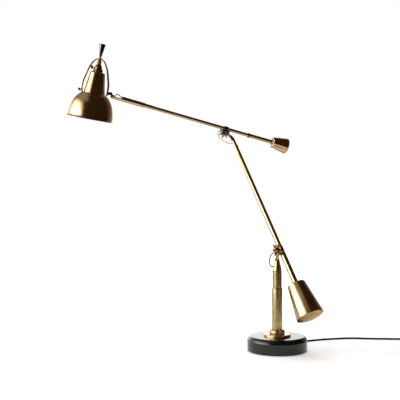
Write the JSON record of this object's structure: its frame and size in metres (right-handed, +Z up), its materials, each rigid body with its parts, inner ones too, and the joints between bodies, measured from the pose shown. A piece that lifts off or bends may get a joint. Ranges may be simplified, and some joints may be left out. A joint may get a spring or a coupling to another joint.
{
  "type": "counterweight balance desk lamp",
  "caption": "Brass desk lamp whose two jointed arms balance on truncated-cone counterweights, with a bell shade under a wire bail and a round dark base.",
  "frame": {"origin": "centre of the base's underside", "axes": "+Z up the column; the head hangs out to -X and both counterweights point to +X"},
  "size_m": [1.0257, 0.3452, 0.7809],
  "materials": {
    "felt": "matte",
    "black_lacquer": "gloss",
    "iron": "matte",
    "aged_brass": "satin",
    "column_brass": "satin",
    "tube_brass": "satin",
    "bright_brass": "polished",
    "shade_brass": "satin",
    "lead_core": "matte",
    "steel": "satin",
    "dark_steel": "satin",
    "pin_nickel": "polished",
    "black_plastic": "satin",
    "cord_fabric": "matte",
    "flex_skin": "satin",
    "holder_ceramic": "gloss",
    "bulb_opal": "gloss",
    "black_wood": "gloss"
  },
  "bodies": {
    "base": {"base_felt": "felt", "base_block": "black_lacquer", "ballast_disc": "iron", "column_flange": "aged_brass", "column_foot_bead": "aged_brass", "column_sleeve": "column_brass", "tie_tube": "steel", "tie_nut": "steel", "swivel_grub_screw": "steel", "cord_bush": "black_plastic", "mains_cord": "cord_fabric", "cord_coil": "cord_fabric", "plug_body": "black_plastic", "plug_pins": "pin_nickel"},
    "column_head": {"column_head": "column_brass", "column_cheek": "column_brass", "column_wire_bush": "black_plastic", "lower_flex": "flex_skin"},
    "lower_arm": {"lower_arm_tube": "tube_brass", "lower_arm_sleeve": "aged_brass", "lower_saddle": "aged_brass", "lower_washers": "steel", "lower_pivot_bolt": "steel", "lower_weight": "aged_brass", "lower_weight_lead": "lead_core", "lower_weight_cap": "aged_brass"},
    "lower_nut": {"lower_wing_nut": "bright_brass"},
    "swan_neck": {"swan_neck": "tube_brass", "neck_cheek": "aged_brass", "upper_flex": "flex_skin"},
    "upper_arm": {"upper_arm_tube": "tube_brass", "rear_sleeve": "aged_brass", "upper_saddle": "aged_brass", "upper_washers": "steel", "upper_pivot_bolt": "steel", "upper_weight": "aged_brass", "upper_weight_lead": "lead_core", "upper_weight_cap": "aged_brass", "twist_collar": "bright_brass"},
    "upper_nut": {"upper_wing_nut": "bright_brass"},
    "head_sleeve": {"head_sleeve": "aged_brass", "head_flex": "flex_skin", "tongue_wire_bush": "black_plastic"},
    "tilt_screw": {"tilt_screw": "dark_steel"},
    "head": {"shade_bell": "shade_brass", "shade_neck": "shade_brass", "bail": "aged_brass", "crown_ears": "aged_brass", "bail_screws": "pin_nickel", "pivot_lug": "aged_brass", "tilt_nut": "steel", "lampholder_ring": "bright_brass", "lampholder_cap": "aged_brass", "lampholder_body": "holder_ceramic", "bulb_cap": "pin_nickel", "bulb_glass": "bulb_opal", "handle_ferrule": "aged_brass", "handle": "black_wood"},
    "switch_key": {"switch_key": "bright_brass"}
  },
  "joints": [
    {"name": "column_swivel", "type": "hinge", "parent": "base", "child": "column_head", "pos_m": [0, 0, 0.16], "axis": [0, 0, 1], "range_deg": [-175, 175]},
    {"name": "lower_tilt", "type": "hinge", "parent": "column_head", "child": "lower_arm", "pos_m": [0, 0, 0.256], "axis": [-0.7837, -0.6211, 0], "range_deg": [-14, 40], "deforming": ["lower_flex"]},
    {"name": "lower_wing_nut_turn", "type": "hinge", "parent": "lower_arm", "child": "lower_nut", "pos_m": [0, 0, 0.256], "axis": [-0.7837, -0.6211, 0], "range_deg": [-180, 180]},
    {"name": "neck_swivel", "type": "hinge", "parent": "lower_arm", "child": "swan_neck", "pos_m": [-0.09767, 0.14577, 0.52636], "axis": [-0.3374, 0.4257, 0.8396], "range_deg": [-170, 170]},
    {"name": "upper_tilt", "type": "hinge", "parent": "swan_neck", "child": "upper_arm", "pos_m": [-0.125, 0.152, 0.5775], "axis": [-0.3681, 0.3895, -0.8443], "range_deg": [-45, 45], "deforming": ["upper_flex"]},
    {"name": "upper_wing_nut_turn", "type": "hinge", "parent": "upper_arm", "child": "upper_nut", "pos_m": [-0.125, 0.152, 0.5775], "axis": [-0.3681, 0.3895, -0.8443], "range_deg": [-180, 180]},
    {"name": "sleeve_twist", "type": "hinge", "parent": "upper_arm", "child": "head_sleeve", "pos_m": [-0.37757, 0.04847, 0.63987], "axis": [0.902, 0.3698, -0.2227], "range_deg": [-170, 170]},
    {"name": "tilt_screw_turn", "type": "hinge", "parent": "head_sleeve", "child": "tilt_screw", "pos_m": [-0.42673, 0.02753, 0.65653], "axis": [0.3405, -0.9266, -0.1592], "range_deg": [-180, 180]},
    {"name": "head_tilt", "type": "hinge", "parent": "head_sleeve", "child": "head", "pos_m": [-0.42673, 0.02753, 0.65653], "axis": [0.3405, -0.9266, -0.1592], "range_deg": [-30, 22]},
    {"name": "switch_turn", "type": "hinge", "parent": "head", "child": "switch_key", "pos_m": [-0.45516, 0.00649, 0.71821], "axis": [-0.9212, -0.3627, 0.1408], "range_deg": [0, 90]}
  ]
}
